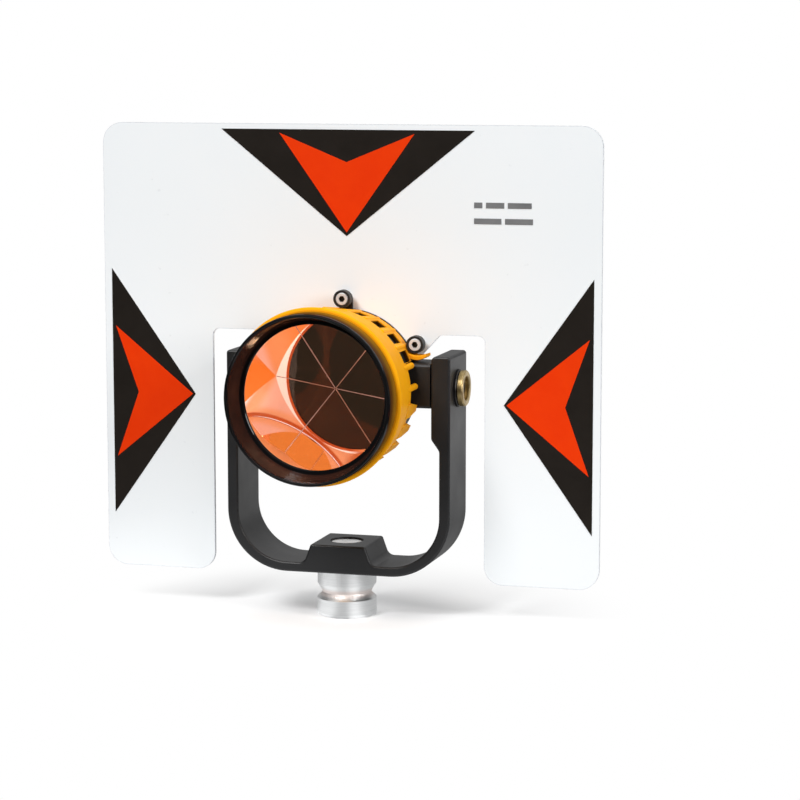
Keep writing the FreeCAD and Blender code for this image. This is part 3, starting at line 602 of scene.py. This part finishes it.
def pale_floor():
    """White to the camera, but for the shade at the adapter's foot. For light and reflections it
    is bright in a few directions near the adapter, and further off dark in front, bright behind."""
    t = Tree("pale_floor")
    x, y, _ = t.axes()
    radius = t.distance(x, y)
    t.set(Base_Color=t.mottle(t.noise(3), (0.93, 0.935, 0.94), (0.96, 0.96, 0.965)))
    t.set(Roughness=0.85, Specular_IOR_Level=0.1)
    white = t.add("Emission", Color=WHITE).outputs[0]
    seen = t.blend(t.smooth(radius, FLOOR_SHADED, FLOOR_WHITE), t.bsdf.outputs[0], white)
    normalize = t.add("VectorMath")
    normalize.operation = "NORMALIZE"
    t.fill(normalize, t.place)
    near = NEAR_LEVEL
    for azimuth, outer, inner, strength in NEAR_LOBES:
        lobe = t.lobe(normalize.outputs[0], direction(azimuth), outer, inner, strength)
        near = t.plus(near, lobe)
    far = t.smooth(y, -0.05, 0.50, 0.02, 1.0)
    share = t.smooth(radius, FLOOR_NEAR, FLOOR_FAR)
    strength = t.plus(t.times(near, t.minus(1.0, share)), t.times(far, share))
    lit = t.add("Emission", Strength=strength).outputs[0]
    t.connect(t.seen_or_lit(seen, lit), t.out.inputs["Surface"])
    return t.material


def make_floor():
    bm = bmesh.new()
    bmesh.ops.create_circle(bm, cap_ends=True, segments=64, radius=FLOOR_R)
    floor = new_object("floor", mesh_from(bm, "floor"), pale_floor())
    floor.location.z = cad_low.z - FLOOR_GAP


def make_camera():
    """A long lens from the right and slightly above."""
    back = direction(CAMERA_AZIMUTH, CAMERA_ELEVATION)
    data = bpy.data.cameras.new("camera")
    data.lens = CAMERA_LENS
    data.sensor_width = CAMERA_SENSOR
    data.clip_start, data.clip_end = 0.05, 50
    camera = new_object("camera", data)
    camera.location = CAMERA_AIM + back * CAMERA_DISTANCE
    camera.rotation_mode = "QUATERNION"
    camera.rotation_quaternion = (-back).to_track_quat("-Z", "Y")
    bpy.context.scene.camera = camera


def area_light(name, place, size, power):
    data = bpy.data.lights.new(name, "AREA")
    data.shape = "RECTANGLE"
    data.size, data.size_y = size
    data.energy = power
    light = new_object(name, data)
    light.location = place
    light.rotation_mode = "QUATERNION"
    light.rotation_quaternion = (LIGHT_AIM - Vector(place)).to_track_quat("-Z", "Y")


def make_world():
    """White to the eye. For light and reflections: bright overhead, some behind, dim in front."""
    world = bpy.data.worlds.new("studio")
    bpy.context.scene.world = world
    world.use_nodes = True
    world.node_tree.nodes.clear()
    g = Graph(world.node_tree)
    unit = g.add("TexCoord").outputs["Generated"]
    _, y, z = g.add("SeparateXYZ", Vector=unit).outputs
    overhead = g.smooth(z, 0.55, 0.85, 0.03, 0.9)
    behind = g.times(g.smooth(y, 0.0, 0.8), g.smooth(z, 0.05, 0.4, 0.25, 0.6))
    warm = g.lobe(unit, direction(WARM_AZIMUTH, WARM_ELEVATION), WARM_OUTER, WARM_INNER, 1.0)
    strength = g.plus(overhead, behind, g.times(warm, WARM_LEVEL))
    lit = g.add("Background", Color=g.mix(warm, WHITE, WARM_COLOUR), Strength=strength)
    seen = g.add("Background", Color=WHITE)
    out = g.add("OutputWorld")
    g.connect(g.seen_or_lit(seen.outputs[0], lit.outputs[0]), out.inputs[0])


# ---------------------------------------------------------------- dress the CAD nodes
dress(satin_black_paint(), "yoke")
dress(turned_aluminium(), "pole_adapter")
dress(aged_brass(), "tilt_lock_nut", "right_pivot_bush", "left_pivot_bush")
dress(plated_steel("black_oxide_steel", (0.045, 0.043, 0.042), (0.085, 0.08, 0.075), 0.32, 0.5),
      "adapter_set_screw", "clamp_washer", "right_pivot_stud", "left_pivot_screw",
      "canister_screws")
dress(plated_steel("zinc_plated_steel", (0.55, 0.56, 0.57), (0.72, 0.73, 0.74), 0.22, 0.36),
      "target_plate_washers", "target_plate_nuts")
dress(socket_screw_steel(), "target_plate_screws")
dress(black_rubber(), "right_friction_washer", "left_friction_washer", "front_gasket",
      "prism_seat", "rear_cap_seal")
dress(moulded_black_plastic(), "carrier_ring", "prism_cell", "rear_cap")
dress(yellow_plastic(), "canister_housing")
dress(glossy_black_plastic(), "front_bezel")
dress(copper_mirror(), "copper_coating")
dress(white_plate_paint(), "target_plate")
dress(printed_film("black_print", (0.0125, 0.0098, 0.0078), (0.0165, 0.013, 0.0105)),
      "black_triangle_films")
dress(printed_film("orange_print", (0.80, 0.036, 0.0002), (0.84, 0.044, 0.0004)),
      "orange_arrow_films")
dress(printed_film("grey_print", (0.16, 0.165, 0.17), (0.21, 0.215, 0.22)), "offset_mark_films")

# ---------------------------------------------------------------- add the glass and its edges
apex = Vector((0, GLASS_APEX, AXIS_Z))
glass = new_object("corner_cube_glass", glass_mesh(apex), optical_glass(), ground_side())
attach(glass, "prism_head")
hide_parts("corner_cube_prism")
strips = new_object("prism_edge_bevels", edge_strips(apex), edge_line())
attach(strips, "prism_head")

# ---------------------------------------------------------------- set up the studio
make_floor()
make_camera()
make_world()
for light in LIGHTS:
    area_light(*light)
scene = bpy.context.scene
scene.view_settings.view_transform = "Standard"
scene.cycles.glossy_bounces = MIRROR_BOUNCES
scene.cycles.transmission_bounces = MIRROR_BOUNCES
scene.cycles.max_bounces = ALL_BOUNCES
